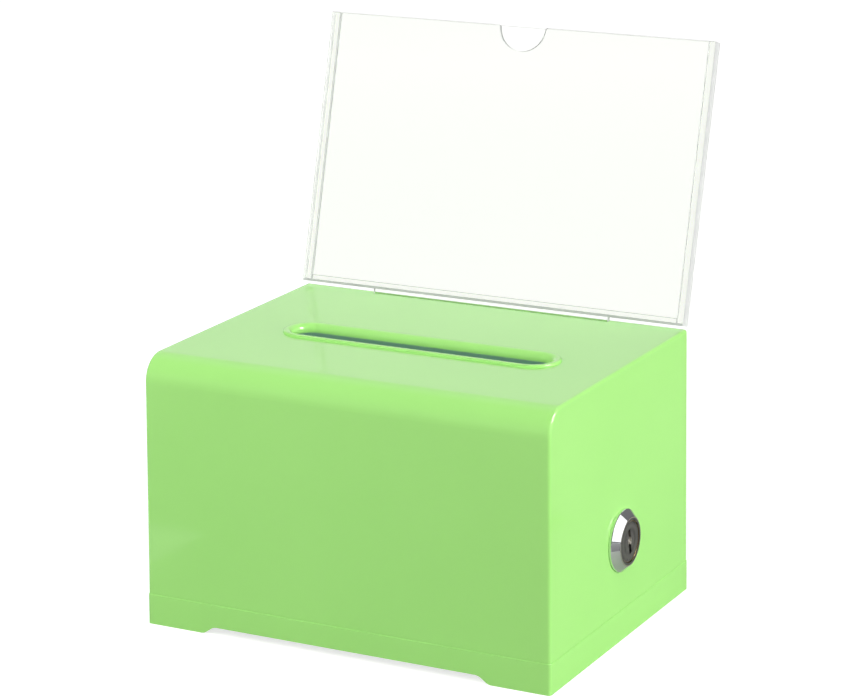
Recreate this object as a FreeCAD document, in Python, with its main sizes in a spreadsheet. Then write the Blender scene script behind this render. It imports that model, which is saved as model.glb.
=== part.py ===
import FreeCAD, Part
import os
import re

import Sketcher
from FreeCAD import Placement, Rotation, Vector

# Donation box: a moulded cover on a locking base, with a clear sign holder plugged into its top.
# The origin is the middle of the footprint on the table, +X the lock's side, +Y the rear, +Z up.

sizes = {
    # the box as a whole, measured at the table
    "box_width": 158.75,
    "box_depth": 118.75,
    "box_height": 99.07,
    "draft_angle": 0.55,
    "wall_thick": 3.0,
    "roof_thick": 2.2,
    "front_round": 9.5,
    "edge_round": 1.1,
    "seam_height": 11.2,
    "seam_bevel": 0.3,
    "seam_lip": 0.06,
    "band_step": 0.16,
    # the base under the cover
    "skirt_thick": 3.0,
    "floor_thick": 3.0,
    "arch_height": 2.8,
    "arch_length": 104.8,
    "arch_run": 3.8,
    "arch_round": 4.6,
    "foot_round": 4.0,
    "rib_thick": 2.0,
    "rib_spacing": 36.0,
    "lip_height": 4.5,
    "lip_thick": 2.0,
    "lip_gap": 0.3,
    # the hooks of the base and the ledges of the cover, on the left
    "hook_spacing": 70.0,
    "hook_width": 14.0,
    "hook_thick": 2.5,
    "hook_top": 13.3,
    "hook_bite": 1.7,
    "hook_gap": 0.4,
    "ledge_rise": 5.3,
    "ledge_reach": 2.6,
    "ledge_tip": 2.2,
    "ledge_slope": 40.0,
    # the cash slot in the top and the bead round it
    "slot_length": 101.6,
    "slot_width": 12.7,
    "slot_forward": 3.3,
    "slot_shift": 1.8,
    "slot_round": 2.4,
    "bead_width": 3.6,
    "bead_height": 0.9,
    "bead_round": 0.8,
    # the cam lock's housing
    "lock_height": 37.0,
    "spot_depth": 0.2,
    "spot_gap": 0.25,
    "lock_grip": 3.4,
    "seat_radius": 13.8,
    "bezel_radius": 11.3,
    "bezel_face": 8.75,
    "bezel_rim": 1.1,
    "bezel_rise": 3.6,
    "bezel_round": 0.35,
    "barrel_radius": 9.2,
    "barrel_flats": 15.8,
    "barrel_length": 15.0,
    "barrel_fit": 0.15,
    "groove_depth": 0.8,
    "groove_gap": 0.2,
    "lug_height": 1.4,
    "lug_width": 2.6,
    # the nut and washer that clamp it
    "washer_thick": 0.8,
    "washer_radius": 12.6,
    "nut_across": 22.0,
    "nut_thick": 4.0,
    "thread_fit": 0.05,
    # the plug that the key turns
    "plug_radius": 7.2,
    "plug_fit": 0.05,
    "plug_head": 7.55,
    "head_depth": 1.6,
    "face_recess": 0.3,
    "face_bevel": 0.3,
    "tail_gap": 0.3,
    "tail_square": 6.6,
    "tail_fit": 0.05,
    "keyway_length": 9.0,
    "keyway_width": 1.8,
    "keyway_jog": 0.7,
    "keyway_depth": 15.5,
    "keyway_tilt": 14.5,
    "cam_bore": 2.0,
    "cam_bore_depth": 9.0,
    # the wafers and their springs
    "wafer_thick": 1.2,
    "wafer_pitch": 2.3,
    "wafer_front": 3.2,
    "wafer_width": 6.0,
    "wafer_length": 12.8,
    "wafer_fit": 0.06,
    "window_length": 7.4,
    "window_width": 3.0,
    "window_step": 0.25,
    "ear_width": 1.4,
    "ear_length": 1.5,
    "spring_length": 3.3,
    "spring_radius": 0.42,
    "spring_wire": 0.1,
    "spring_gap": 0.05,
    # the quarter-turn stop, the cam and their screw
    "stop_thick": 1.2,
    "stop_radius": 6.9,
    "stop_reach": 9.0,
    "stop_width": 4.0,
    "stop_gap": 0.35,
    "turn_angle": 90.0,
    "lug_angle": 140.0,
    "cam_thick": 2.0,
    "cam_reach": 24.0,
    "cam_width": 10.0,
    "cam_hub": 8.0,
    "cam_round": 2.0,
    "split_radius": 3.7,
    "split_thick": 0.8,
    "split_gap": 0.9,
    "screw_head": 3.8,
    "screw_rise": 2.4,
    "screw_reach": 7.0,
    "screw_slot": 0.9,
    # the keeper on the base, which the cam turns under
    "keeper_offset": 20.0,
    "keeper_width": 11.0,
    "keeper_post": 3.5,
    "keeper_foot": 18.0,
    "keeper_step": 7.0,
    "keeper_hook": 3.0,
    "keeper_gap": 0.4,
    "keeper_side": 0.6,
    "pin_radius": 1.5,
    "pin_head": 2.8,
    "pin_rise": 1.8,
    "pin_reach": 5.0,
    "pin_spacing": 7.5,
    "pin_margin": 4.0,
    "pin_fit": 0.02,
    # the clear sign holder
    "sign_width": 156.5,
    "sign_height": 102.6,
    "sign_tilt": 15.0,
    "sign_inset": 5.375,
    "sign_clear": 2.13,
    "sheet_thick": 1.6,
    "card_gap": 1.9,
    "spacer_width": 3.0,
    "rail_height": 2.6,
    "notch_radius": 9.3,
    "notch_flare": 1.0,
    "notch_shift": 1.9,
    "tongue_width": 96.5,
    "tongue_length": 11.5,
    "tongue_fit": 0.12,
    "socket_wall": 2.0,
}
wafer_count = 5
spring_turns = 4

doc = FreeCAD.newDocument("DonationBox")
sheet = doc.addObject("Spreadsheet::Sheet", "Sizes")
for row, (name, amount) in enumerate(sizes.items(), start=1):
    sheet.set(f"A{row}", str(amount))
    sheet.setAlias(f"A{row}", name)
doc.recompute()
nodes = []


# Helpers that tie shapes to the sheet

def cell(expression):
    return re.sub(r"[a-z]+(?:_[a-z]+)+", lambda word: "Sizes." + word.group(), expression)


def number(expression):
    return float(sheet.evalExpression(cell(expression)))


def bind(item, **expressions):
    for key, expression in expressions.items():
        item.setExpression(key, cell(expression))
    return item


def shift(item, x="0", y="0", z="0"):
    for axis, expression in zip("xyz", (x, y, z)):
        item.setExpression(f"Placement.Base.{axis}", cell(expression))
    return item


def node(item, label):
    item.Label = label
    nodes.append(item)
    return item


def newBody(name):
    return doc.addObject("PartDesign::Body", name)


def newSketch(body, plane, lift="0", turn="0"):
    made = body.newObject("Sketcher::SketchObject", body.Name + "_sketch")
    support = next(item for item in body.Origin.OriginFeatures if item.Role == plane)
    made.AttachmentSupport = [(support, "")]
    made.MapMode = "FlatFace"
    made.setExpression("AttachmentOffset.Base.z", cell(lift))
    made.setExpression("AttachmentOffset.Rotation.Angle", cell(turn))
    return made


def tie(sketch, kind, curve, end, expression):
    made = sketch.addConstraint(Sketcher.Constraint(kind, -1, 1, curve, end, number(expression)))
    sketch.setExpression(f"Constraints[{made}]", cell(expression))


def tieRadius(sketch, curve, expression):
    made = sketch.addConstraint(Sketcher.Constraint("Radius", curve, number(expression)))
    sketch.setExpression(f"Constraints[{made}]", cell(expression))


def outline(sketch, corners):
    first = sketch.GeometryCount
    points = [Vector(number(x), number(y), 0) for x, y in corners]
    count = len(points)
    for i, start in enumerate(points):
        sketch.addGeometry(Part.LineSegment(start, points[(i + 1) % count]), False)
    for i in range(count):
        after = first + (i + 1) % count
        sketch.addConstraint(Sketcher.Constraint("Coincident", first + i, 2, after, 1))
    for i, (x, y) in enumerate(corners):
        tie(sketch, "DistanceX", first + i, 1, x)
        tie(sketch, "DistanceY", first + i, 1, y)
    return sketch


def rectangle(sketch, left, right, low, high):
    return outline(sketch, [(left, low), (right, low), (right, high), (left, high)])


def disc(sketch, radius, x="0", y="0"):
    centre = Vector(number(x), number(y), 0)
    curve = sketch.addGeometry(Part.Circle(centre, Vector(0, 0, 1), number(radius)), False)
    tie(sketch, "DistanceX", curve, 3, x)
    tie(sketch, "DistanceY", curve, 3, y)
    tieRadius(sketch, curve, radius)
    return sketch


def stadium(sketch, length, width, x, y):
    half = f"({length}) / 2 - ({width}) / 2"
    radius = f"({width}) / 2"
    a, r, m, h = number(half), number(radius), number(x), number(y)
    up = Vector(0, 0, 1)
    quarter = FreeCAD.Units.Quantity("90 deg").getValueAs("rad").Value
    low = sketch.addGeometry(Part.LineSegment(Vector(m - a, h - r, 0), Vector(m + a, h - r, 0)), False)
    right = sketch.addGeometry(
        Part.ArcOfCircle(Part.Circle(Vector(m + a, h, 0), up, r), -quarter, quarter), False)
    high = sketch.addGeometry(Part.LineSegment(Vector(m + a, h + r, 0), Vector(m - a, h + r, 0)), False)
    left = sketch.addGeometry(
        Part.ArcOfCircle(Part.Circle(Vector(m - a, h, 0), up, r), quarter, 3 * quarter), False)
    ring = [low, right, high, left]
    for i, curve in enumerate(ring):
        sketch.addConstraint(Sketcher.Constraint("Tangent", curve, 2, ring[(i + 1) % 4], 1))
    tie(sketch, "DistanceX", right, 3, f"{x} + ({half})")
    tie(sketch, "DistanceY", right, 3, y)
    tie(sketch, "DistanceX", left, 3, f"{x} - ({half})")
    tie(sketch, "DistanceY", left, 3, y)
    tieRadius(sketch, right, radius)
    return sketch


def pad(body, sketch, length, taper="0", down=False, centred=False):
    made = body.newObject("PartDesign::Pad", body.Name + "_pad")
    made.Profile = sketch
    made.Reversed = down
    made.SideType = "Symmetric" if centred else "One side"
    bind(made, Length=length, TaperAngle=taper)
    doc.recompute()
    return made


def pocket(body, sketch, length=None, taper="0", up=False, centred=False):
    before = body.Shape.Volume
    made = body.newObject("PartDesign::Pocket", body.Name + "_pocket")
    made.Profile = sketch
    made.Reversed = up
    made.SideType = "Symmetric" if centred else "One side"
    if length is None:
        made.Type = "ThroughAll"
    else:
        bind(made, Length=length, TaperAngle=taper)
    doc.recompute()
    if not body.Shape.Volume < before:
        raise RuntimeError(f"{made.Label} cuts nothing")
    return made


def spin(body, sketch):
    made = body.newObject("PartDesign::Revolution", body.Name + "_turned")
    made.Profile = sketch
    made.ReferenceAxis = (sketch, ["V_Axis"])
    made.Angle = 360
    doc.recompute()
    return made


def middle(edge):
    return edge.valueAt((edge.FirstParameter + edge.LastParameter) / 2)


def dress(body, kind, wanted, **expressions):
    base = body.Tip
    names = [f"Edge{i}" for i, edge in enumerate(base.Shape.Edges, 1) if wanted(edge)]
    made = body.newObject(f"PartDesign::{kind}", body.Name + kind.lower())
    made.Base = (base, names)
    bind(made, **expressions)
    doc.recompute()
    return made


def near(a, b):
    return abs(a - b) < 0.02


def cylinder(name, radius, height):
    return bind(doc.addObject("Part::Cylinder", name), Radius=radius, Height=height)


def block(name, length, width, height):
    return bind(doc.addObject("Part::Box", name), Length=length, Width=width, Height=height)


def join(kind, name, first, second):
    made = doc.addObject(f"Part::{kind}", name)
    made.Base = first
    made.Tool = second
    return made


def joinAll(kind, name, shapes):
    made = doc.addObject(f"Part::{kind}", name)
    if kind == "Compound":
        made.Links = shapes
    else:
        made.Shapes = shapes
    return made


# Places that several pieces share

def halfAcross(size, height):
    return f"({size} / 2 - ({height}) * tan(draft_angle))"


lock_seat = f"({halfAcross('box_width', 'lock_height')} - spot_depth)"
plug_tail = "(barrel_length + tail_gap)"
cam_front = "(barrel_length + tail_gap + stop_thick)"
cam_inner = f"({lock_seat} - {cam_front} - cam_thick)"
pivot_x = f"(-{halfAcross('box_width', 'seam_height')})"
sign_face = "(box_depth / 2 - sign_inset)"


def onLock(item):
    # along the lock, outward is the piece's own Z and down is its own X
    item.Placement = Placement(Vector(), Rotation(Vector(0, 1, 0), 90))
    return shift(item, x=lock_seat, z="lock_height")


def onSign(item):
    # the sign holder's own Z runs up its face, and its own Y from the front sheet to the back
    item.Placement = Placement(Vector(), Rotation(Vector(-1, 0, 0), sizes["sign_tilt"]))
    item.setExpression("Placement.Rotation.Angle", cell("sign_tilt"))
    return shift(item, y=sign_face, z="box_height + sign_clear")


# The moulded cover

def makeShell():
    body = newBody("shell_moulding")
    half_width = halfAcross("box_width", "seam_height")
    half_depth = halfAcross("box_depth", "seam_height")
    walls = newSketch(body, "XY_Plane", "seam_height")
    rectangle(walls, f"-{half_width}", half_width, f"-{half_depth}", half_depth)
    pad(body, walls, "box_height - seam_height", taper="-draft_angle")

    inner_width = f"{half_width} - wall_thick"
    inner_depth = f"{half_depth} - wall_thick"
    cavity = newSketch(body, "XY_Plane", "seam_height")
    rectangle(cavity, f"-({inner_width})", inner_width, f"-({inner_depth})", inner_depth)
    pocket(body, cavity, "box_height - roof_thick - seam_height", taper="-draft_angle", up=True)
    ceiling = number("box_height - roof_thick")
    inside = number(f"wall_thick - {halfAcross('box_depth', 'box_height - roof_thick')}")
    dress(body, "Fillet", lambda e: near(middle(e).z, ceiling) and near(middle(e).y, inside),
          Radius="front_round - roof_thick")

    top = number("box_height")
    seam = number("seam_height")
    front = -number(halfAcross("box_depth", "box_height"))
    dress(body, "Fillet", lambda e: near(middle(e).z, top) and near(middle(e).y, front),
          Radius="front_round")
    dress(body, "Fillet", lambda e: onWalls(e) and not near(middle(e).z, seam) and not smooth(e),
          Radius="edge_round")
    dress(body, "Fillet", lambda e: onWalls(e) and near(middle(e).z, seam), Radius="seam_lip")

    bead = newSketch(body, "XY_Plane", "box_height")
    stadium(bead, "slot_length + 2 * bead_width", "slot_width + 2 * bead_width",
            "slot_shift", "-slot_forward")
    pad(body, bead, "bead_height")
    slot = newSketch(body, "XY_Plane", "box_height + bead_height")
    stadium(slot, "slot_length", "slot_width", "slot_shift", "-slot_forward")
    pocket(body, slot, "bead_height + roof_thick + bead_height")
    dress(body, "Fillet", lambda e: rimEdge(e, "slot_width / 2 + bead_width"), Radius="bead_round")
    dress(body, "Fillet", lambda e: rimEdge(e, "slot_width / 2"), Radius="slot_round")

    makeSocket(body)
    makeLedges(body)
    seat = newSketch(body, "YZ_Plane", f"{lock_seat} - lock_grip")
    disc(seat, "seat_radius", y="lock_height")
    pad(body, seat, "lock_grip / 2")
    cuts = joinAll("MultiFuse", "shell_cuts", [tongueSlot(), lockHole(), spotFace()])
    node(join("Cut", "shell", body, cuts), "shell")


def onWalls(edge):
    point = middle(edge)
    beside = near(abs(point.x), number(halfAcross("box_width", f"{point.z}")))
    return beside or near(abs(point.y), number(halfAcross("box_depth", f"{point.z}")))


def smooth(edge):
    # the line where the front rounding runs out on the front wall
    return near(middle(edge).x, 0) and middle(edge).y < 0


def rimEdge(edge, reach):
    # an edge on the bead's crest, told by its distance from the slot's centre line
    point = middle(edge)
    along = abs(point.x - number("slot_shift")) - number("slot_length / 2 - slot_width / 2")
    across = point.y + number("slot_forward")
    away = Vector(max(along, 0), across, 0).Length
    return near(point.z, number("box_height + bead_height")) and near(away, number(reach))


def makeSocket(body):
    # the pocket block under the top that the sign's tongue drops into
    bottom = "(box_height + sign_clear - tongue_length * cos(sign_tilt) - socket_wall - card_gap)"
    back = f"({sign_face} + sheet_thick * cos(sign_tilt))"
    nose = f"({back} - tongue_length * sin(sign_tilt) - socket_wall)"
    rear = f"{halfAcross('box_depth', 'box_height')} - wall_thick / 2"
    half = "tongue_width / 2 + tongue_fit + socket_wall"
    base = newSketch(body, "XY_Plane", bottom)
    rectangle(base, f"-({half})", half, nose, rear)
    pad(body, base, f"box_height - roof_thick / 2 - {bottom}")


def makeLedges(body):
    wall = f"{halfAcross('box_width', 'seam_height')} - wall_thick"
    low = "seam_height + ledge_rise"
    tip = f"{low} + ledge_tip"
    for side in (1, -1):
        ledge = newSketch(body, "XZ_Plane", f"{side} * hook_spacing / 2")
        outline(ledge, [
            (f"-({wall} + wall_thick / 2)", low),
            (f"-({wall} - ledge_reach)", low),
            (f"-({wall} - ledge_reach)", tip),
            (f"-({wall} + wall_thick / 2)",
             f"{tip} + (ledge_reach + wall_thick / 2) * tan(ledge_slope)"),
        ])
        pad(body, ledge, "hook_width", centred=True)


def tongueSlot():
    tool = block("tongue_slot", "tongue_width + 2 * tongue_fit", "card_gap + 2 * tongue_fit",
                 "2 * tongue_length")
    hole = joinAll("Compound", "tongue_slot_placed", [tool])
    shift(tool, x="-(tongue_width / 2 + tongue_fit)", y="sheet_thick - tongue_fit",
          z="-tongue_length")
    return onSign(hole)


def lockHole():
    length = "lock_grip + 2 * bezel_rise"
    round_tool = cylinder("lock_hole_round", "barrel_radius + barrel_fit", length)
    shift(round_tool, z=f"-({length}) / 2 - lock_grip / 2")
    flat_tool = block("lock_hole_flats", "4 * barrel_radius", "barrel_flats + 2 * barrel_fit", length)
    shift(flat_tool, x="-2 * barrel_radius", y="-(barrel_flats / 2 + barrel_fit)",
          z=f"-({length}) / 2 - lock_grip / 2")
    return onLock(join("Common", "lock_hole", round_tool, flat_tool))


def spotFace():
    tool = cylinder("lock_spot_face", "bezel_radius + spot_gap", "bezel_rise")
    return onLock(tool)


# The base with its band, feet, lip and hooks

def makeBase():
    body = newBody("base_moulding")
    band = newSketch(body, "XY_Plane")
    half_width = "(box_width / 2 + band_step)"
    half_depth = "(box_depth / 2 + band_step)"
    rectangle(band, f"-{half_width}", half_width, f"-{half_depth}", half_depth)
    pad(body, band, "seam_height", taper="-draft_angle")
    seam = number("seam_height")
    dress(body, "Fillet", lambda e: e.BoundBox.ZLength > seam / 2, Radius="edge_round")
    dress(body, "Fillet", lambda e: near(middle(e).z, seam), Radius="seam_bevel")

    hollow = newSketch(body, "XY_Plane")
    across = "box_width / 2 - skirt_thick"
    deep = "box_depth / 2 - skirt_thick"
    rectangle(hollow, f"-({across})", across, f"-({deep})", deep)
    pocket(body, hollow, "seam_height - floor_thick", up=True)
    arch = newSketch(body, "XZ_Plane")
    outline(arch, [
        ("-(arch_length / 2 + arch_run)", "0"),
        ("arch_length / 2 + arch_run", "0"),
        ("arch_length / 2", "arch_height"),
        ("-arch_length / 2", "arch_height"),
    ])
    pocket(body, arch, "2 * box_depth", centred=True)
    crown = number("arch_height")
    bend = number("arch_length") / 2
    foot = number("arch_length / 2 + arch_run")
    dress(body, "Fillet", lambda e: near(middle(e).z, crown) and near(abs(middle(e).x), bend),
          Radius="arch_round")
    dress(body, "Fillet", lambda e: near(middle(e).z, 0) and near(abs(middle(e).x), foot),
          Radius="foot_round")
    for place in ("-rib_spacing", "0", "rib_spacing"):
        rib = newSketch(body, "XY_Plane")
        rectangle(rib, "-(box_width - skirt_thick) / 2", "(box_width - skirt_thick) / 2",
                  f"{place} - rib_thick / 2", f"{place} + rib_thick / 2")
        pad(body, rib, "seam_height - floor_thick / 2")

    lip = newSketch(body, "XY_Plane", "seam_height - floor_thick / 2")
    lip_width = f"{halfAcross('box_width', 'seam_height')} - wall_thick - lip_gap"
    lip_depth = f"{halfAcross('box_depth', 'seam_height')} - wall_thick - lip_gap"
    rectangle(lip, f"-({lip_width})", lip_width, f"-({lip_depth})", lip_depth)
    rectangle(lip, f"-({lip_width} - lip_thick)", f"{lip_width} - lip_thick",
              f"-({lip_depth} - lip_thick)", f"{lip_depth} - lip_thick")
    pad(body, lip, "floor_thick / 2 + lip_height")
    makeHooks(body)
    holes = [pinHole(f"base_pin_hole_{i}", place, "pin_radius + 5 * pin_fit")
             for i, place in enumerate(pinPlaces(), 1)]
    node(join("Cut", "base", body, joinAll("MultiFuse", "base_pin_holes", holes)), "base")


def makeHooks(body):
    wall = f"{halfAcross('box_width', 'seam_height')} - wall_thick"
    stem = f"{wall} - ledge_reach - hook_gap"
    nose = f"{wall} - ledge_reach + hook_bite"
    under = "seam_height + ledge_rise + ledge_tip + hook_gap"
    for side in (1, -1):
        hook = newSketch(body, "XZ_Plane", f"{side} * hook_spacing / 2")
        outline(hook, [
            (f"-({stem})", "seam_height - floor_thick / 2"),
            (f"-({stem} - hook_thick)", "seam_height - floor_thick / 2"),
            (f"-({stem} - hook_thick)", "seam_height + hook_top"),
            (f"-({stem})", "seam_height + hook_top"),
            (f"-({nose})", f"{under} + hook_bite * tan(ledge_slope) + hook_gap"),
            (f"-({nose})", f"{under} + hook_bite * tan(ledge_slope)"),
            (f"-({stem})", f"{under} - hook_gap * tan(ledge_slope)"),
        ])
        pad(body, hook, "hook_width - 2 * hook_gap", centred=True)


# The keeper and its two screws

def keeperFace():
    return f"({cam_inner} - keeper_side)"


def pinPlaces():
    outer = f"({keeperFace()} - keeper_foot + pin_margin)"
    return [outer, f"({outer} + pin_spacing)"]


def pinHole(name, place, radius):
    tool = cylinder(name, radius, "seam_height + pin_reach + pin_rise")
    return shift(tool, x=place, y="-keeper_offset")


def makeKeeper():
    body = newBody("keeper_block")
    face = keeperFace()
    under = "(lock_height + cam_width / 2 + keeper_gap)"
    profile = newSketch(body, "XZ_Plane", "keeper_offset")
    outline(profile, [
        (face, "seam_height"),
        (face, under),
        (f"{face} + keeper_side + cam_thick", under),
        (f"{face} + keeper_side + cam_thick", f"{under} + keeper_hook"),
        (f"{face} - keeper_post", f"{under} + keeper_hook"),
        (f"{face} - keeper_post", "seam_height + keeper_step"),
        (f"{face} - keeper_foot", "seam_height + keeper_step"),
        (f"{face} - keeper_foot", "seam_height"),
    ])
    pad(body, profile, "keeper_width", centred=True)
    holes = [cylinderUnder(f"keeper_pilot_{i}", place)
             for i, place in enumerate(pinPlaces(), 1)]
    node(join("Cut", "keeper", body, joinAll("MultiFuse", "keeper_pilots", holes)), "keeper")


def cylinderUnder(name, place):
    tool = cylinder(name, "pin_radius + pin_fit", "2 * pin_reach + pin_radius")
    return shift(tool, x=place, y="-keeper_offset", z="seam_height - pin_reach")


def makeKeeperScrews():
    screws = []
    for i, place in enumerate(pinPlaces(), 1):
        head = cylinder(f"pin_head_{i}", "pin_head", "pin_rise")
        shift(head, x=place, y="-keeper_offset", z="seam_height - floor_thick - pin_rise")
        shank = cylinder(f"pin_shank_{i}", "pin_radius", "floor_thick + pin_reach + pin_rise / 2")
        shift(shank, x=place, y="-keeper_offset", z="seam_height - floor_thick - pin_rise / 2")
        screws.append(join("Fuse", f"pin_{i}", head, shank))
    node(joinAll("Compound", "keeper_screws", screws), "keeper_screws")


# The lock's fixed pieces

def makeHousing():
    body = newBody("lock_housing")
    bore = "plug_radius + plug_fit"
    counter = "plug_head + plug_fit"
    step = "bezel_rise - head_depth"
    profile = newSketch(body, "XZ_Plane")
    outline(profile, [
        (bore, "-barrel_length"),
        ("barrel_radius", "-barrel_length"),
        ("barrel_radius", "0"),
        ("bezel_radius", "0"),
        ("bezel_radius", "bezel_rim"),
        ("bezel_face", "bezel_rise"),
        (counter, "bezel_rise"),
        (counter, step),
        (bore, step),
    ])
    spin(body, profile)
    rim, rise = number("bezel_rim"), number("bezel_rise")
    edge_at = {number("bezel_radius"): rim, number("bezel_face"): rise}
    dress(body, "Fillet", lambda e: any(
        near(e.BoundBox.ZMax, z) and near(e.BoundBox.ZMin, z) and near(e.BoundBox.XMax, r)
        for r, z in edge_at.items()), Radius="bezel_round")
    flats = newSketch(body, "XY_Plane", "-barrel_length")
    for side in ("", "-"):
        rectangle(flats, "-2 * barrel_radius", "2 * barrel_radius",
                  f"{side}barrel_flats / 2", f"{side}2 * barrel_radius")
    pocket(body, flats, "barrel_length", up=True)
    groove = newSketch(body, "XY_Plane", "-barrel_length", turn="keyway_tilt")
    rectangle(groove, "-(plug_radius + groove_depth)", "plug_radius + groove_depth",
              "-(wafer_width / 2 + groove_gap)", "wafer_width / 2 + groove_gap")
    pocket(body, groove, "barrel_length", up=True)
    for angle in ("lug_angle", "lug_angle - turn_angle - 2 * " + stopStep()):
        lug = newSketch(body, "XY_Plane", "-barrel_length", turn=angle)
        rectangle(lug, "plug_radius + stop_gap", "barrel_radius - plug_fit",
                  "-lug_width / 2", "lug_width / 2")
        pad(body, lug, "lug_height", down=True)
    node(onLock(body), "lock_housing")


def stopStep():
    # the angle between the middles of the stop tab and a lug where their near corners meet
    return "(2 * asin((stop_width + lug_width + 2 * stop_gap) / 4 / plug_radius) / 1 deg)"


def makeNutAndWasher():
    ring = cylinder("lock_washer_disc", "washer_radius", "washer_thick")
    hole = cylinder("lock_washer_hole", "barrel_radius + barrel_fit", "washer_thick")
    washer = join("Cut", "lock_washer", ring, hole)
    for item in (ring, hole):
        shift(item, z="-(lock_grip + washer_thick)")
    node(onLock(washer), "lock_washer")
    hexagon = bind(doc.addObject("Part::Prism", "lock_nut_hexagon"), Height="nut_thick",
                   Circumradius="nut_across / 2 / cos(30)")
    hexagon.Polygon = 6
    bore = cylinder("lock_nut_bore", "barrel_radius + thread_fit", "nut_thick")
    nut = join("Cut", "lock_nut", hexagon, bore)
    for item in (hexagon, bore):
        shift(item, z="-(lock_grip + washer_thick + nut_thick)")
    node(onLock(nut), "lock_nut")


# The lock's turning pieces

def waferPlace(i):
    return f"(bezel_rise - head_depth - wafer_front - {i} * wafer_pitch)"


def makePlug():
    body = newBody("lock_plug")
    step = "bezel_rise - head_depth + plug_fit"
    face = "bezel_rise - face_recess"
    profile = newSketch(body, "XZ_Plane")
    outline(profile, [
        ("0", f"-{plug_tail}"),
        ("plug_radius", f"-{plug_tail}"),
        ("plug_radius", step),
        ("plug_head", step),
        ("plug_head", f"{face} - face_bevel"),
        ("plug_head - face_bevel", face),
        ("0", face),
    ])
    spin(body, profile)
    tail = newSketch(body, "XY_Plane", f"-{plug_tail}")
    half = "tail_square / 2"
    rectangle(tail, f"-{half}", half, f"-{half}", half)
    pad(body, tail, "stop_thick + cam_thick - tail_fit", down=True)
    bore = newSketch(body, "XY_Plane", f"-({cam_front} + cam_thick)")
    disc(bore, "cam_bore + thread_fit")
    pocket(body, bore, "cam_bore_depth", up=True)
    keyway = newSketch(body, "XY_Plane", face, turn="keyway_tilt")
    end = "keyway_length / 2"
    inner = "(keyway_width - keyway_jog) / 2"
    outer = "(keyway_width + keyway_jog) / 2"
    outline(keyway, [
        (f"-{end}", f"-{inner}"),
        ("-keyway_jog", f"-{inner}"),
        ("-keyway_jog", f"-{outer}"),
        (end, f"-{outer}"),
        (end, inner),
        ("keyway_jog", inner),
        ("keyway_jog", outer),
        (f"-{end}", outer),
    ])
    pocket(body, keyway, "keyway_depth")
    for i in range(wafer_count):
        slot = newSketch(body, "XY_Plane", waferPlace(i), turn="keyway_tilt")
        side = "wafer_width / 2 + wafer_fit"
        outline(slot, [
            ("-2 * plug_radius", f"-({side})"),
            ("2 * plug_radius", f"-({side})"),
            ("2 * plug_radius", side),
            ("spring_length / 2 + ear_length", side),
            ("spring_length / 2 + ear_length", f"{side} + ear_width"),
            ("-spring_length / 2", f"{side} + ear_width"),
            ("-spring_length / 2", side),
            ("-2 * plug_radius", side),
        ])
        pocket(body, slot, "wafer_thick + 2 * wafer_fit", centred=True)
    node(onLock(body), "lock_plug")


def makeWafer(i):
    body = newBody(f"wafer_{i + 1}")
    half = "wafer_length / 2"
    side = "wafer_width / 2"
    plate = newSketch(body, "XY_Plane", waferPlace(i), turn="keyway_tilt")
    outline(plate, [
        (f"-{half}", f"-{side}"),
        (half, f"-{side}"),
        (half, side),
        ("spring_length / 2 + ear_length - wafer_fit", side),
        ("spring_length / 2 + ear_length - wafer_fit", f"{side} + ear_width"),
        ("spring_length / 2", f"{side} + ear_width"),
        ("spring_length / 2", side),
        (f"-{half}", side),
    ])
    # the key's cut is deeper or shallower from one wafer to the next
    step = f"{(i * 2) % wafer_count - wafer_count // 2} * window_step"
    rectangle(plate, f"{step} - window_length / 2", f"{step} + window_length / 2",
              "-window_width / 2", "window_width / 2")
    pad(body, plate, "wafer_thick", centred=True)
    node(onLock(body), f"wafer_{i + 1}")


def makeSpring(i):
    # half turns whose ends rise along the coil, each a plain arc
    wire = number("spring_wire")
    radius = number("spring_radius")
    length = number("spring_length - 2 * spring_gap - 2 * spring_wire")
    rise = length / (2 * spring_turns)
    side = number("wafer_width / 2 + wafer_fit + ear_width / 2")
    start = Vector(-length / 2, side, number(waferPlace(i)))
    tilt = Rotation(Vector(0, 0, 1), number("keyway_tilt"))
    arcs = []
    for turn in range(2 * spring_turns):
        way = 1 if turn % 2 == 0 else -1
        first = start + Vector(turn * rise, 0, way * radius)
        last = start + Vector((turn + 1) * rise, 0, -way * radius)
        bulge = (first + last) / 2 + Vector(0, way * (last - first).Length / 2, 0)
        arcs.append(Part.Arc(*[tilt.multVec(spot) for spot in (first, bulge, last)]).toShape())
    path = Part.Wire(arcs)
    section = Part.makeCircle(wire, path.OrderedVertexes[0].Point, tilt.multVec(Vector(0, 1, 0)))
    if i == 0:
        print(f"wafer springs: {2 * rise - 2 * wire:.2f} mm between turns")
    spring = doc.addObject("Part::Feature", f"wafer_spring_{i + 1}")
    spring.Shape = path.makePipeShell([Part.Wire(section)], True, False)
    node(onLock(spring), f"wafer_spring_{i + 1}")


def squareHole(body, lift, depth):
    hole = newSketch(body, "XY_Plane", lift)
    half = "tail_square / 2 + tail_fit"
    rectangle(hole, f"-({half})", half, f"-({half})", half)
    pocket(body, hole, depth)


def makeStopWasher():
    body = newBody("stop_washer")
    plate = newSketch(body, "XY_Plane", f"-{plug_tail}")
    disc(plate, "stop_radius")
    pad(body, plate, "stop_thick", down=True)
    tab = newSketch(body, "XY_Plane", f"-{plug_tail}", turn="lug_angle - " + stopStep())
    rectangle(tab, "tail_square / 2", "stop_reach", "-stop_width / 2", "stop_width / 2")
    pad(body, tab, "stop_thick", down=True)
    squareHole(body, f"-{plug_tail}", "stop_thick")
    node(onLock(body), "stop_washer")


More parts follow.
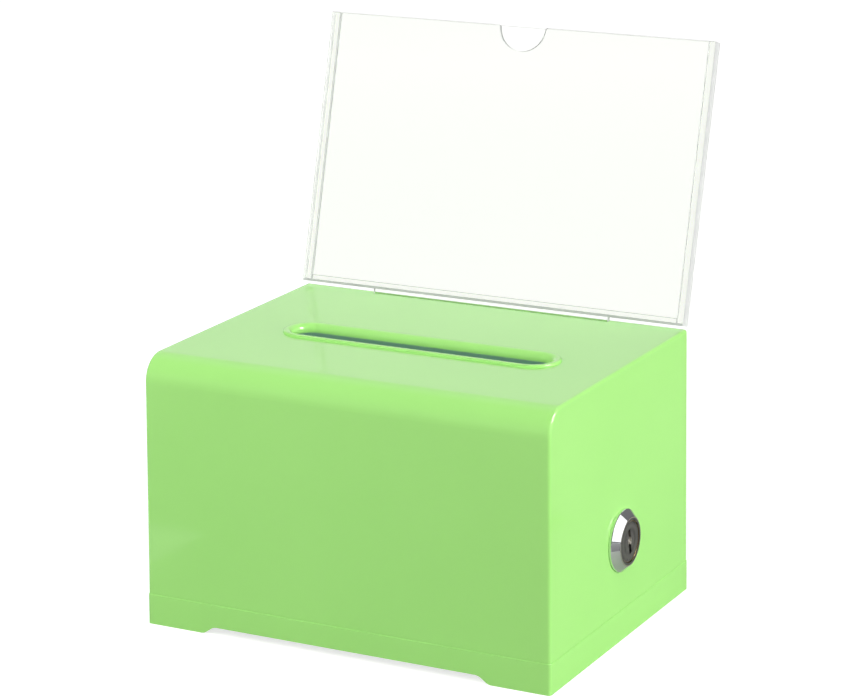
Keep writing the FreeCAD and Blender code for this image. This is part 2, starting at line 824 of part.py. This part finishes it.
def makeCam():
    body = newBody("cam")
    hub = newSketch(body, "XY_Plane", f"-{cam_front}")
    disc(hub, "cam_hub")
    pad(body, hub, "cam_thick", down=True)
    arm = newSketch(body, "XY_Plane", f"-{cam_front}")
    rectangle(arm, "0", "cam_reach", "-cam_width / 2", "cam_width / 2")
    pad(body, arm, "cam_thick", down=True)
    tip, thick = number("cam_reach"), number("cam_thick")
    dress(body, "Fillet", lambda e: near(middle(e).x, tip) and near(e.BoundBox.ZLength, thick),
          Radius="cam_round")
    squareHole(body, f"-{cam_front}", "cam_thick")
    node(onLock(body), "cam")


def makeCamScrew():
    seat = f"({cam_front} + cam_thick)"
    ring = cylinder("split_disc", "split_radius", "split_thick")
    hole = cylinder("split_hole", "cam_bore + tail_fit", "split_thick")
    gap = block("split_cut", "2 * split_radius", "split_gap", "split_thick")
    for item in (ring, hole):
        shift(item, z=f"-({seat} + split_thick)")
    shift(gap, y="-split_gap / 2", z=f"-({seat} + split_thick)")
    cuts = joinAll("MultiFuse", "split_cuts", [hole, gap])
    node(onLock(join("Cut", "cam_spring_washer", ring, cuts)), "cam_spring_washer")

    head = cylinder("cam_screw_head", "screw_head", "screw_rise")
    shift(head, z=f"-({seat} + split_thick + screw_rise)")
    shank = cylinder("cam_screw_shank", "cam_bore", "split_thick + screw_reach + screw_rise / 2")
    shift(shank, z=f"-({seat} + split_thick + screw_rise / 2)")
    slot = block("cam_screw_slot", "4 * screw_head", "screw_slot", "screw_rise / 2")
    shift(slot, x="-2 * screw_head", y="-screw_slot / 2", z=f"-({seat} + split_thick + screw_rise)")
    solid = join("Fuse", "cam_screw_solid", head, shank)
    node(onLock(join("Cut", "cam_screw", solid, slot)), "cam_screw")


# The clear sign holder

def makeSheet(label, front):
    body = newBody(label)
    panel = newSketch(body, "XZ_Plane", f"-({front})")
    rectangle(panel, "-sign_width / 2", "sign_width / 2", "0", "sign_height")
    pad(body, panel, "sheet_thick", down=True)
    return body


def makeFrontSheet():
    body = makeSheet("sign_front_sheet", "0")
    notch = newSketch(body, "XZ_Plane")
    disc(notch, "notch_radius", x="notch_shift", y="sign_height")
    pocket(body, notch, "sheet_thick")
    top = number("sign_height")
    mid = number("notch_shift")
    width = number("notch_radius")
    dress(body, "Fillet", lambda e: near(middle(e).z, top) and near(abs(middle(e).x - mid), width),
          Radius="notch_flare")
    node(onSign(body), "sign_front_sheet")


def makeSpacer(label, side):
    strip = block(label + "_strip", "spacer_width", "card_gap", "sign_height")
    left = "-sign_width / 2" if side < 0 else "sign_width / 2 - spacer_width"
    shift(strip, x=left, y="sheet_thick")
    node(onSign(joinAll("Compound", label, [strip])), label)


def makeTongueRail():
    body = newBody("sign_tongue_rail")
    rail = newSketch(body, "XZ_Plane", "-sheet_thick")
    half = "sign_width / 2 - spacer_width"
    outline(rail, [
        (f"-({half})", "0"),
        ("-tongue_width / 2", "0"),
        ("-tongue_width / 2", "-tongue_length + tongue_fit"),
        ("tongue_width / 2", "-tongue_length + tongue_fit"),
        ("tongue_width / 2", "0"),
        (half, "0"),
        (half, "rail_height"),
        (f"-({half})", "rail_height"),
    ])
    pad(body, rail, "card_gap", down=True)
    node(onSign(body), "sign_tongue_rail")


makeShell()
makeBase()
makeKeeper()
makeKeeperScrews()
makeHousing()
makeNutAndWasher()
makePlug()
for i in range(wafer_count):
    makeWafer(i)
    makeSpring(i)
makeStopWasher()
makeCam()
makeCamScrew()
makeFrontSheet()
node(onSign(makeSheet("sign_back_sheet", "sheet_thick + card_gap")), "sign_back_sheet")
makeSpacer("sign_left_spacer", -1)
makeSpacer("sign_right_spacer", 1)
makeTongueRail()
doc.recompute()

# Every piece is checked before anything is written
for item in doc.Objects:
    if "Invalid" in item.State or "Error" in item.State:
        raise RuntimeError(f"{item.Label} failed: {item.State}")
for item in nodes:
    if item.Shape.isNull() or not item.Shape.isValid() or not item.Shape.Solids:
        raise RuntimeError(f"{item.Label} has no valid shape")

os.makedirs("parts", exist_ok=True)
for item in nodes:
    item.Shape.exportStep(os.path.join("parts", item.Label + ".step"))
    print(f"{item.Label}: {len(item.Shape.Solids)} solid, {item.Shape.Volume:.2f} mm3")
print(f"cover pivot: x {number(pivot_x):.4f}, z {number('seam_height'):.4f}")
print(f"lock axis: x {number(lock_seat):.4f}, z {number('lock_height'):.4f}")
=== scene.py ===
import math

import bpy
from mathutils import Matrix, Vector


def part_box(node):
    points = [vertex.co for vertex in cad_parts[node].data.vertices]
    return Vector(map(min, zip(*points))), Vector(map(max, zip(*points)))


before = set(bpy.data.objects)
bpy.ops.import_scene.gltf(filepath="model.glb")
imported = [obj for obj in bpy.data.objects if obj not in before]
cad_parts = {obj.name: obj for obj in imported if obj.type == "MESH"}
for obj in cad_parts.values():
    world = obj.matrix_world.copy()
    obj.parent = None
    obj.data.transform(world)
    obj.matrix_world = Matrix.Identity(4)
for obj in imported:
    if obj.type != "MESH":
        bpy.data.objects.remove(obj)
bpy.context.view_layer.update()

scene = bpy.context.scene
scene.view_settings.view_transform = "Standard"
mm = 0.001


# the camera stands where the photograph was taken from

cameraStand = {
    "azimuth": 27.26,  # degrees round from the front
    "elevation": 15.49,
    "roll": -0.37,
    "distance": 1133 * mm,
    "aimRight": 4.47 * mm,
    "aimUp": 92.86 * mm,
    "lens": 129.2,
    "clip": (0.05, 50),
}


def standCamera(stand):
    turn, rise = math.radians(stand["azimuth"]), math.radians(stand["elevation"])
    reach = math.cos(rise)
    back = Vector((math.sin(turn) * reach, -math.cos(turn) * reach, math.sin(rise)))
    level = Vector((0, 0, 1)).cross(back).normalized()
    upright = back.cross(level)
    roll = math.radians(stand["roll"])
    right = level * math.cos(roll) + upright * math.sin(roll)
    up = upright * math.cos(roll) - level * math.sin(roll)
    place = right * stand["aimRight"] + up * stand["aimUp"] + back * stand["distance"]
    camera = bpy.data.objects.new("boxCamera", bpy.data.cameras.new("boxCamera"))
    camera.data.lens = stand["lens"]
    camera.data.clip_start, camera.data.clip_end = stand["clip"]
    camera.matrix_world = Matrix((
        (right.x, up.x, back.x, place.x),
        (right.y, up.y, back.y, place.y),
        (right.z, up.z, back.z, place.z),
        (0, 0, 0, 1),
    ))
    scene.collection.objects.link(camera)
    scene.camera = camera


standCamera(cameraStand)
print("camera stood")


# small helpers for node trees

mixColour = {"share": 0, "first": 6, "second": 7, "result": 2}  # colour sockets of a Mix node
mixValue = {"share": 0, "first": 2, "second": 3, "result": 0}


def newFinish(name):
    finish = bpy.data.materials.new(name)
    finish.use_nodes = True
    tree = finish.node_tree
    return finish, tree, tree.nodes["Principled BSDF"]


def feed(tree, node, inputs):
    # a socket is linked, anything else is set as the input's own value
    for key, value in inputs.items():
        if isinstance(value, bpy.types.NodeSocket):
            tree.links.new(value, node.inputs[key])
        else:
            node.inputs[key].default_value = value


def put(tree, kind, settings=None, inputs=None):
    node = tree.nodes.new("ShaderNode" + kind)
    for key, value in (settings or {}).items():
        setattr(node, key, value)
    feed(tree, node, inputs or {})
    return node


def maths(tree, operation, *values):
    return put(tree, "Math", {"operation": operation}, dict(enumerate(values))).outputs[0]


def vectorMaths(tree, operation, *vectors):
    node = put(tree, "VectorMath", {"operation": operation}, dict(enumerate(vectors)))
    return node.outputs["Value"]


def axisOf(tree, vector, axis):
    return put(tree, "SeparateXYZ", None, {0: vector}).outputs[axis]


def span(tree, value, low, high, fromLow=0.0, fromHigh=1.0):
    # a value, stretched on to the range that a socket wants
    return put(tree, "MapRange", None, {
        "Value": value, "From Min": fromLow, "From Max": fromHigh, "To Min": low, "To Max": high,
    }).outputs["Result"]


def grains(tree, where, scale, detail=2.0, rough=0.5):
    return put(tree, "TexNoise", None, {
        "Vector": where, "Scale": scale, "Detail": detail, "Roughness": rough,
    }).outputs["Fac"]


def opaque(colour):
    return (*colour, 1)


def blendColours(tree, share, first, second):
    mix = put(tree, "Mix", {"data_type": "RGBA"}, {mixColour["share"]: share})
    for side, colour in (("first", first), ("second", second)):
        linked = isinstance(colour, bpy.types.NodeSocket)
        feed(tree, mix, {mixColour[side]: colour if linked else opaque(colour)})
    return mix.outputs[mixColour["result"]]


def blendValues(tree, share, first, second):
    mix = put(tree, "Mix", {"data_type": "FLOAT"}, {
        mixValue["share"]: share, mixValue["first"]: first, mixValue["second"]: second,
    })
    return mix.outputs[mixValue["result"]]


def bumpFrom(tree, height, depth, under=None):
    bump = put(tree, "Bump", None, {"Height": height, "Distance": depth, "Strength": 1.0})
    if under is not None:
        feed(tree, bump, {"Normal": under})
    return bump.outputs["Normal"]


def ownPlace(tree):
    return put(tree, "TexCoord").outputs["Object"]


# table, backdrop, cards and lamps

studio = {
    "tableSize": 8.0,
    "tableColour": (0.43, 0.43, 0.42),
    "tableGrain": 3.0,
    "tableMottle": 0.985,  # the darker patches, as a share of the colour
    "tableRoughness": 0.9,
    "tableSheen": 0.1,
    "tableLift": (0.76, 0.94),  # added for a seen ray, near the box and far off, to read white
    "tableFade": (0.25, 1.1),  # metres from the box over which that changes
    "tableInMetal": 0.0,  # share of that lift which a polished face mirrors
    "tableBehind": (-0.05, 0.20),  # metres of depth over which it turns white seen through the sign
    "ambient": 0.14,
    "roomInMetal": 0.06,  # the unlit room that a polished face mirrors between the cards
    "roomInPlastic": 0.30,  # the unlit room that the sign's edges pick up
    "roomBehind": (-0.05, 0.30),  # share of depth in a ray's heading over which it turns white
    "white": (1.0, 1.0, 1.0),
}

# white cards and a dark flag that only polished faces see: middle and size in metres, roll in
# degrees; a fade gives the heights on the card between which its glow falls to nothing
cards = {
    "rearSweep": {
        "place": (-1.9, 2.4, 1.0), "size": (2.8, 2.7), "glow": 0.95, "fade": (0.35, 1.35),
    },
    "rightCard": {"place": (1.46, 0.09, 0.69), "size": (2.0, 1.35), "glow": 1.5},
    "frontLeftCard": {"place": (-0.95, -1.5, 0.42), "size": (1.5, 0.9), "glow": 0.55},
    "rearTopCard": {"place": (-1.25, 1.75, 2.2), "size": (2.4, 2.2), "glow": 0.85},
    "rearRightCard": {"place": (-0.12, 2.6, 1.85), "size": (1.7, 1.5), "glow": 0.8},
    "glintCard": {
        "place": (1.08, 0.02, 0.92), "size": (0.80, 0.30), "glow": 30.0, "roll": 30.0,
    },
    "leftCard": {"place": (-0.36, 0.10, 0.003), "size": (0.50, 0.50), "glow": 1.0, "flat": True},
    "rightFlag": {"place": (0.50, -0.20, 0.003), "size": (0.70, 0.62), "glow": 0.02, "flat": True},
}

# soft boxes, all aimed at the box's middle; one lights only the pieces that it names
lamps = {
    "frontSoftBox": {"place": (-0.20, -0.85, 1.00), "size": (1.0, 0.8), "watts": 7.7},
    "leftSoftBox": {"place": (-0.75, -0.55, 0.40), "size": (0.5, 0.4), "watts": 3.6},
    "rightSoftBox": {"place": (1.30, 0.05, 0.25), "size": (0.9, 0.3), "watts": 13.8},
    "topSoftBox": {"place": (0.75, -0.35, 1.25), "size": (1.0, 0.9), "watts": 7.0},
    "rearSoftBox": {
        "place": (-0.55, 1.25, 0.20), "size": (0.9, 0.3), "watts": 7.0, "only": ("shell", "base"),
    },
}
aimPoint = Vector((0, 0, 0.07))
halfBounce = 0.5  # a diffuse depth under this is a ray that hasn't bounced yet


def seenRay(tree, inMetal, inPlastic):
    # 1 for what the camera sees straight, and a share of that for what it sees
    # in a polished face or through the sign
    path = put(tree, "LightPath")
    through = maths(tree, "MULTIPLY", path.outputs["Is Transmission Ray"], inPlastic)
    mirrored = maths(tree, "MULTIPLY", path.outputs["Is Glossy Ray"], inMetal)
    straight = maths(tree, "MAXIMUM", path.outputs["Is Camera Ray"], through)
    seen = maths(tree, "MAXIMUM", straight, mirrored)
    direct = maths(tree, "LESS_THAN", path.outputs["Diffuse Depth"], halfBounce)
    return maths(tree, "MULTIPLY", seen, direct)


def hangBackdrop(look):
    world = bpy.data.worlds.new("paleRoom")
    scene.world = world
    world.use_nodes = True
    tree = world.node_tree
    heading = axisOf(tree, put(tree, "TexCoord").outputs["Generated"], "Y")
    behind = span(tree, heading, look["roomInPlastic"], 1.0, *look["roomBehind"])
    level = span(tree, seenRay(tree, look["roomInMetal"], behind), look["ambient"], 1.0)
    feed(tree, tree.nodes["Background"], {"Color": opaque(look["white"]), "Strength": level})


def flatSheet(name, width, height):
    sheet = bpy.data.meshes.new(name)
    x, y = width / 2, height / 2
    sheet.from_pydata([(-x, -y, 0), (x, -y, 0), (x, y, 0), (-x, y, 0)], [], [(0, 1, 2, 3)])
    board = bpy.data.objects.new(name, sheet)
    scene.collection.objects.link(board)
    return board


def layTable(look):
    table = flatSheet("table", look["tableSize"], look["tableSize"])
    finish, tree, surface = newFinish("paleTable")
    where = ownPlace(tree)
    mottle = grains(tree, where, look["tableGrain"])
    darker = [c * look["tableMottle"] for c in look["tableColour"]]
    behind = span(tree, axisOf(tree, where, "Y"), look["roomInPlastic"], 1.0, *look["tableBehind"])
    seen = seenRay(tree, look["tableInMetal"], behind)
    away = vectorMaths(tree, "LENGTH", where)
    lift = span(tree, away, *look["tableLift"], *look["tableFade"])
    feed(tree, surface, {
        "Base Color": blendColours(tree, mottle, look["tableColour"], darker),
        "Roughness": look["tableRoughness"],
        "Specular IOR Level": look["tableSheen"],
        "Emission Color": opaque(look["white"]),
        "Emission Strength": maths(tree, "MULTIPLY", lift, seen),
    })
    table.data.materials.append(finish)


def aim(holder, place):
    holder.location = place
    holder.rotation_euler = (aimPoint - holder.location).to_track_quat("-Z", "Y").to_euler()


def hangCards(plan):
    for name, card in plan.items():
        board = flatSheet(name, *card["size"])
        if card.get("flat"):
            board.location = card["place"]
        else:
            aim(board, card["place"])
            board.rotation_euler.rotate_axis("Z", math.radians(card.get("roll", 0.0)))
        finish, tree, surface = newFinish(name + "Face")
        glow = card["glow"]
        if "fade" in card:
            glow = span(tree, axisOf(tree, ownPlace(tree), "Y"), glow, 0.0, *card["fade"])
        feed(tree, surface, {
            "Base Color": opaque((0, 0, 0)),
            "Emission Color": opaque(studio["white"]),
            "Emission Strength": glow,
        })
        board.data.materials.append(finish)
        board.visible_camera = board.visible_diffuse = False
        board.visible_shadow = board.visible_transmission = False


def hangLamps(plan):
    for name, lamp in plan.items():
        light = bpy.data.lights.new(name, "AREA")
        light.shape = "RECTANGLE"
        light.size, light.size_y = lamp["size"]
        light.energy = lamp["watts"]
        holder = bpy.data.objects.new(name, light)
        aim(holder, lamp["place"])
        holder.visible_camera = holder.visible_transmission = False
        holder.visible_glossy = False  # the cards stand in
        scene.collection.objects.link(holder)
        if "only" in lamp:
            lit = bpy.data.collections.new(name + "Pieces")
            for piece in lamp["only"]:
                lit.objects.link(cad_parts[piece])
            holder.light_linking.receiver_collection = lit


hangBackdrop(studio)
layTable(studio)
hangCards(cards)
hangLamps(lamps)
print("studio set:", len(lamps), "soft boxes,", len(cards), "cards")


# lime plastic of the cover, the base and the keeper; a grain is scale, detail and roughness

limePlastic = {
    "body": (0.385, 0.808, 0.212),
    "deep": (0.370, 0.790, 0.202),
    "cloudGrain": (14.0, 3.0),  # how the two colours drift
    "cloudRange": (0.3, 0.7),
    "gloss": (0.045, 0.10),  # roughness, from the polished to the handled
    "handledGrain": (45.0, 4.0, 0.6),
    "handledRange": (0.35, 0.75),
    "swell": 0.03 * mm,  # slow moulding waviness
    "swellGrain": (22.0, 1.0),
    "peel": 0.0035 * mm,  # orange peel
    "peelGrain": (1100.0, 1.0),
    "ior": 1.53,
    "inside": ((-77.4, -57.4, 10.0), (77.4, 57.4, 84.0)),  # mm, corners of the space in the walls
    "through": (0.072, 0.090, 0.120),  # painted glow: emission on the cover's inner faces that stands in for the daylight the thin walls let in, which tints the inside
}


def within(tree, where, corners):
    # 1 between two corners given in mm, 0 outside them
    share = 1.0
    for axis, low, high in zip("XYZ", *corners):
        middle, half = (low + high) / 2 * mm, (high - low) / 2 * mm
        near = maths(tree, "COMPARE", axisOf(tree, where, axis), middle, half)
        share = maths(tree, "MULTIPLY", near, share)
    return share


def makeLimePlastic(name, look, paintsInnerGlow):
    finish, tree, surface = newFinish(name)
    where = ownPlace(tree)
    cloud = span(tree, grains(tree, where, *look["cloudGrain"]), 0.0, 1.0, *look["cloudRange"])
    handled = grains(tree, where, *look["handledGrain"])
    swell = bumpFrom(tree, grains(tree, where, *look["swellGrain"]), look["swell"])
    feed(tree, surface, {
        "Base Color": blendColours(tree, cloud, look["body"], look["deep"]),
        "Roughness": span(tree, handled, *look["gloss"], *look["handledRange"]),
        "Normal": bumpFrom(tree, grains(tree, where, *look["peelGrain"]), look["peel"], swell),
        "IOR": look["ior"],
    })
    # painted light: the inner faces of the cover glow, standing in for daylight through the thin
    # walls
    if paintsInnerGlow:
        inside = within(tree, where, look["inside"])
        feed(tree, surface, {
            "Emission Color": blendColours(tree, inside, (0, 0, 0), look["through"]),
            "Emission Strength": 1.0,
        })
    return finish


# clear sheet of the sign holder

clearSheet = {
    "tint": (0.985, 0.995, 0.972),
    "lean": 15.0,  # degrees that the holder leans back
    "broadFrom": (0.86, 0.97),  # share of a face's heading from which it is broad and not an edge
    "cutTint": (0.58, 0.60, 0.58),
    "outerTint": (0.80, 0.815, 0.80),  # the two outer edges are polished
    "outerEdge": (0.4 * mm, 0.3 * mm),  # in from the side, where the polish starts and is full
    "glueLine": 0.85 * mm,  # frosted band along the bottom edges
    "haze": (0.0, 0.02),  # roughness of the faces, from clean to rubbed
    "rubbedGrain": (30.0, 5.0, 0.65),
    "rubbedRange": (0.5, 0.8),
    "cutHaze": 0.35,  # roughness of the sawn edges
    "cutClear": 0.45,  # how much of a sawn edge still lets light through
    "ior": 1.49,
}


def makeClearSheet(look):
    finish, tree, surface = newFinish("clearSheet")
    spot = put(tree, "TexCoord")
    where = spot.outputs["Object"]
    lean = math.radians(look["lean"])
    outward = Vector((0, math.cos(lean), -math.sin(lean)))
    upward = Vector((0, math.sin(lean), math.cos(lean)))
    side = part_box("sign_front_sheet")[1][0]
    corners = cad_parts["sign_front_sheet"].data.vertices
    foot = min(corner.co @ upward for corner in corners)
    # the broad faces are as cast, every narrow one is sawn, and the foot has a frosted glue line
    facing = vectorMaths(tree, "DOT_PRODUCT", spot.outputs["Normal"], outward)
    narrow = span(tree, maths(tree, "ABSOLUTE", facing), 1.0, 0.0, *look["broadFrom"])
    half = look["glueLine"] / 2
    height = vectorMaths(tree, "DOT_PRODUCT", where, upward)
    glue = maths(tree, "COMPARE", height, foot + half, half)
    cut = maths(tree, "MAXIMUM", narrow, glue)
    rubbed = grains(tree, where, *look["rubbedGrain"])
    haze = span(tree, rubbed, *look["haze"], *look["rubbedRange"])
    reach = maths(tree, "ABSOLUTE", axisOf(tree, where, "X"))
    polished = span(tree, reach, 0.0, 1.0, *(side - inset for inset in look["outerEdge"]))
    edge = blendColours(tree, polished, look["cutTint"], look["outerTint"])
    feed(tree, surface, {
        "Base Color": blendColours(tree, cut, look["tint"], edge),
        "Roughness": blendValues(tree, cut, haze, look["cutHaze"]),
        "Transmission Weight": span(tree, cut, 1.0, look["cutClear"]),
        "IOR": look["ior"],
    })
    return finish


# metals of the lock

lockAxis = Vector((0, 0, 37 * mm))  # the axis runs along X through this point

lockMetals = {
    # ring is mm of radius per radian of the turned marks, 0 for none; cut is the marks' depth
    "bezelChrome": {
        "bright": (0.80, 0.81, 0.83), "dull": (0.74, 0.75, 0.77),
        "gloss": (0.02, 0.05), "ring": 0.9, "cut": 0.002 * mm,
    },
    "plugSteel": {
        "bright": (0.30, 0.29, 0.275), "dull": (0.12, 0.115, 0.11),
        "gloss": (0.22, 0.42), "ring": 0.45, "cut": 0.012 * mm,
    },
    "zincPlate": {
        "bright": (0.68, 0.69, 0.70), "dull": (0.56, 0.57, 0.59),
        "gloss": (0.25, 0.45), "ring": 0.0, "cut": 0.004 * mm,
    },
    "waferBrass": {
        "bright": (0.82, 0.62, 0.30), "dull": (0.68, 0.49, 0.22),
        "gloss": (0.20, 0.38), "ring": 0.0, "cut": 0.003 * mm,
    },
    "springWire": {
        "bright": (0.62, 0.62, 0.62), "dull": (0.50, 0.50, 0.51),
        "gloss": (0.22, 0.36), "ring": 0.0, "cut": 0.002 * mm,
    },
}

metalGrain = {
    "patch": (160.0, 4.0, 0.6),  # how bright and dull drift
    "patchRange": (0.3, 0.7),
    "fine": (900.0, 2.0),  # grain of the metals that aren't turned
    "wander": {"Distortion": 0.6, "Detail": 1.0, "Detail Scale": 40.0},  # of the turned marks
    "waveRate": 20,  # radians of a ring wave per unit of scale
}

plugWear = {
    "rim": (7.16 * mm, 7.24 * mm),  # from here out the turned edge of the plug is bare brass
    "rimBrass": (0.80, 0.62, 0.36),
    "mouth": (1.5 * mm, 1.9 * mm),  # half width and height of the keyway's middle, painted light brass: partly rubbed by keys, partly painted light on its shadowed walls
    "mouthFade": (0.8, 1.05),
    "mouthBrassWearAndLight": (0.84, 0.79, 0.69),
    "mouthMetal": 0.10,
}

bezelWear = {
    "front": (0.20, 0.20, 0.205),  # the flat front is dull
    "frontFrom": (0.88, 0.96),  # share of a face's heading along the axis from which it is front
    "bore": (7.80 * mm, 7.95 * mm),  # inside this edge the plating is darker
    "boreDarker": (0.26, 0.25, 0.23),
    "edge": (8.36 * mm, 8.50 * mm, 8.62 * mm, 8.76 * mm),  # worn through on the rounded edge
    "edgeBrass": (0.90, 0.82, 0.64),
}


def fromAxis(tree, centred, wide=1.0, tall=1.0):
    # distance from the lock's axis, with the two directions stretched
    across = put(tree, "Mapping", None, {"Vector": centred, "Scale": (0, 1 / wide, 1 / tall)})
    return vectorMaths(tree, "LENGTH", across.outputs["Vector"])


def wearPlug(tree, centred, colour, wear):
    rim = span(tree, fromAxis(tree, centred), 0.0, 1.0, *wear["rim"])
    colour = blendColours(tree, rim, colour, wear["rimBrass"])
    # the keyway's middle is painted lighter and less metallic: key wear plus painted light on its
    # shadowed walls
    mouth = span(tree, fromAxis(tree, centred, *wear["mouth"]), 1.0, 0.0, *wear["mouthFade"])
    metal = span(tree, mouth, 1.0, wear["mouthMetal"])
    return blendColours(tree, mouth, colour, wear["mouthBrassWearAndLight"]), metal


def wearBezel(tree, centred, colour, wear):
    endwise = axisOf(tree, put(tree, "TexCoord").outputs["Normal"], "X")
    front = span(tree, endwise, 0.0, 1.0, *wear["frontFrom"])
    colour = blendColours(tree, front, colour, wear["front"])
    away = fromAxis(tree, centred)
    start, full, fall, end = wear["edge"]
    rising = span(tree, away, 0.0, 1.0, start, full)
    edge = maths(tree, "MULTIPLY", rising, span(tree, away, 1.0, 0.0, fall, end))
    colour = blendColours(tree, edge, colour, wear["edgeBrass"])
    # darker inside the bore's edge
    bore = span(tree, away, 1.0, 0.0, *wear["bore"])
    return blendColours(tree, bore, colour, wear["boreDarker"]), 1.0


wornMetals = {"plugSteel": (wearPlug, plugWear), "bezelChrome": (wearBezel, bezelWear)}


def makeLockMetal(name, look, grain):
    finish, tree, surface = newFinish(name)
    where = ownPlace(tree)
    patch = span(tree, grains(tree, where, *grain["patch"]), 0.0, 1.0, *grain["patchRange"])
    centred = put(tree, "Mapping", None, {"Vector": where, "Location": -lockAxis}).outputs["Vector"]
    if look["ring"]:
        # tool marks run round the lock's axis
        scale = 1 / (look["ring"] * mm) / grain["waveRate"]
        height = put(tree, "TexWave", {"wave_type": "RINGS", "rings_direction": "X"}, {
            "Vector": centred, "Scale": scale, **grain["wander"],
        }).outputs["Fac"]
        share = maths(tree, "MULTIPLY", height, patch)
    else:
        height = grains(tree, where, *grain["fine"])
        share = patch
    colour, metal = blendColours(tree, share, look["bright"], look["dull"]), 1.0
    if name in wornMetals:
        wearDown, wear = wornMetals[name]
        colour, metal = wearDown(tree, centred, colour, wear)
    feed(tree, surface, {
        "Base Color": colour,
        "Metallic": metal,
        "Roughness": span(tree, patch, *look["gloss"]),
        "Normal": bumpFrom(tree, height, look["cut"]),
    })
    return finish


finishes = {
    "coverLime": makeLimePlastic("coverLime", limePlastic, True),
    "baseLime": makeLimePlastic("baseLime", limePlastic, False),
    "clearSheet": makeClearSheet(clearSheet),
}
for metalName, metalLook in lockMetals.items():
    finishes[metalName] = makeLockMetal(metalName, metalLook, metalGrain)
print("finishes mixed:", len(finishes))


# which pieces of the frame each finish dresses

sheets = ["sign_front_sheet", "sign_back_sheet"]
spacers = ["sign_left_spacer", "sign_right_spacer"]
signPieces = [*sheets, *spacers, "sign_tongue_rail"]
springs = [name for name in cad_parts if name.startswith("wafer_spring_")]
wafers = [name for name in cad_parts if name.startswith("wafer_") and name not in springs]
dressing = {
    "coverLime": ["shell"],
    "baseLime": ["base", "keeper"],
    "clearSheet": signPieces,
    "bezelChrome": ["lock_housing"],
    "plugSteel": ["lock_plug"],
    "zincPlate": [
        "lock_washer", "lock_nut", "stop_washer", "cam", "cam_spring_washer", "cam_screw",
        "keeper_screws",
    ],
    "waferBrass": wafers,
    "springWire": springs,
}


def dress(plan):
    for finish, names in plan.items():
        for name in names:
            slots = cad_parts[name].data.materials
            slots.clear()
            slots.append(finishes[finish])


dress(dressing)
print("frame dressed")


# seams and corners of the sign holder

signSeams = {
    "weld": 0.002 * mm,
    "film": 0.03 * mm,  # air film between the glued strips and the sheets
    "corner": 0.30 * mm,  # broken corners of sheets and strips
    "cornerSteps": 2,
    "cornerAngle": 35,  # degrees from which a corner is broken
    "flatness": 100,  # how far the broad faces rule the shading at their corners
}


def openSeams(look):
    # the strips draw back from the sheets by a film, so that each face refracts once
    for name in signPieces:
        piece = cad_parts[name]
        weld = piece.modifiers.new("weld", "WELD")
        weld.merge_threshold = look["weld"]
        if name not in sheets:
            film = piece.modifiers.new("film", "DISPLACE")
            film.strength = -look["film"]
            film.mid_level = 0.0
        corner = piece.modifiers.new("corner", "BEVEL")
        corner.width = look["corner"]
        corner.segments = look["cornerSteps"]
        corner.limit_method = "ANGLE"
        corner.angle_limit = math.radians(look["cornerAngle"])
        fair = piece.modifiers.new("fair", "WEIGHTED_NORMAL")
        fair.weight = look["flatness"]
        piece.visible_shadow = False
        piece.visible_glossy = name in spacers  # the top mirrors these two strips alone


openSeams(signSeams)
print("seams opened")
